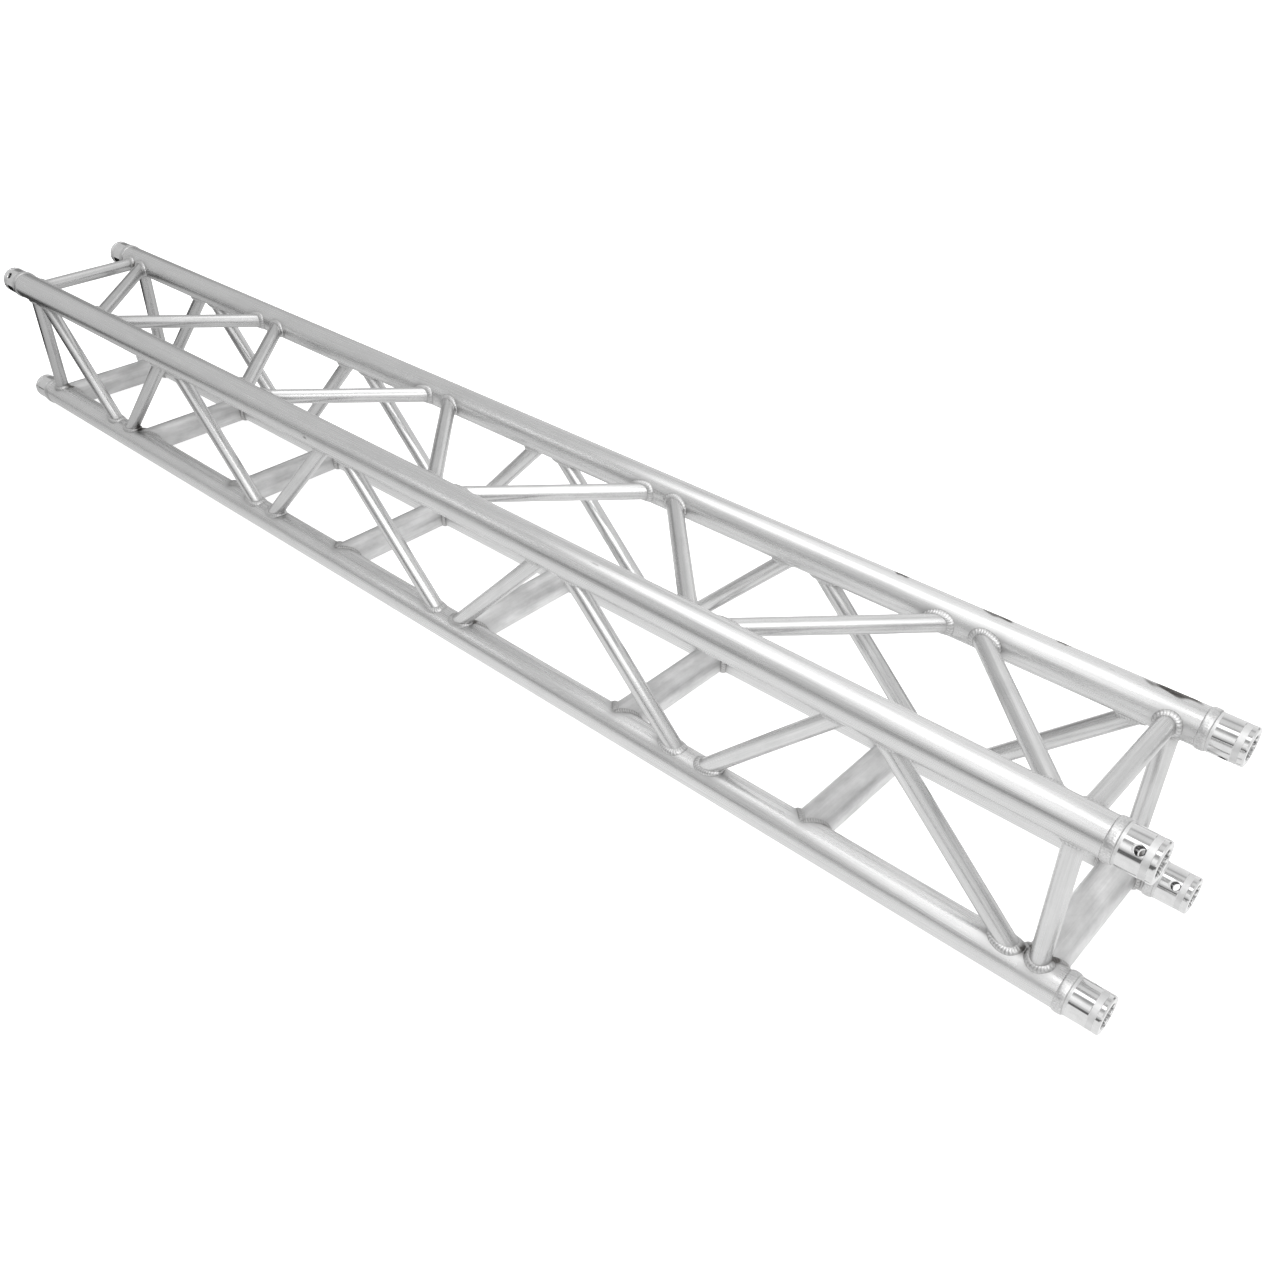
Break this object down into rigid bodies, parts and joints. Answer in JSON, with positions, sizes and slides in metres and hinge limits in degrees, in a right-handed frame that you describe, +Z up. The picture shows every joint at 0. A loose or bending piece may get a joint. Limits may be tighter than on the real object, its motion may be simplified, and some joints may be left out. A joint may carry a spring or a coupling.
{
  "type": "lighting truss section",
  "caption": "Straight square box truss section of welded aluminium tube with zigzag braces, a ladder of rungs below and conical coupler receivers on the chord ends.",
  "frame": {"origin": "middle of the section in plan, on the surface that its two lower chords lie on", "axes": "+X along the section, +Y towards the back face, +Z up through the braced top face, away from the rungs"},
  "size_m": [2.5, 0.29, 0.29],
  "materials": {
    "chord_tube": "satin extruded tube with fine lengthwise streaks, darker beside the welds",
    "brace_tube": "satin extruded tube with fine lengthwise streaks",
    "rung_tube": "satin extruded tube, a little duller than the chords",
    "receiver": "bright turned metal with a fine machined grain"
  },
  "bodies": {
    "root": {"chord_front_top": "chord_tube", "chord_back_top": "chord_tube", "chord_front_bottom": "chord_tube", "chord_back_bottom": "chord_tube", "receiver_front_top_left": "receiver", "receiver_back_top_left": "receiver", "receiver_front_bottom_left": "receiver", "receiver_back_bottom_left": "receiver", "receiver_front_top_right": "receiver", "receiver_back_top_right": "receiver", "receiver_front_bottom_right": "receiver", "receiver_back_bottom_right": "receiver", "top_diagonal_1": "brace_tube", "top_diagonal_2": "brace_tube", "top_diagonal_3": "brace_tube", "top_diagonal_4": "brace_tube", "top_diagonal_5": "brace_tube", "top_diagonal_6": "brace_tube", "top_diagonal_7": "brace_tube", "top_diagonal_8": "brace_tube", "top_diagonal_9": "brace_tube", "top_strut_left": "brace_tube", "top_strut_right": "brace_tube", "front_diagonal_1": "brace_tube", "front_diagonal_2": "brace_tube", "front_diagonal_3": "brace_tube", "front_diagonal_4": "brace_tube", "front_diagonal_5": "brace_tube", "front_diagonal_6": "brace_tube", "front_diagonal_7": "brace_tube", "front_diagonal_8": "brace_tube", "front_diagonal_9": "brace_tube", "front_strut_left": "brace_tube", "front_strut_right": "brace_tube", "back_diagonal_1": "brace_tube", "back_diagonal_2": "brace_tube", "back_diagonal_3": "brace_tube", "back_diagonal_4": "brace_tube", "back_diagonal_5": "brace_tube", "back_diagonal_6": "brace_tube", "back_diagonal_7": "brace_tube", "back_diagonal_8": "brace_tube", "back_diagonal_9": "brace_tube", "back_strut_left": "brace_tube", "back_strut_right": "brace_tube", "rung_1": "rung_tube", "rung_2": "rung_tube", "rung_3": "rung_tube", "rung_4": "rung_tube", "rung_5": "rung_tube", "rung_6": "rung_tube", "rung_7": "rung_tube", "rung_8": "rung_tube"}
  },
  "joints": []
}
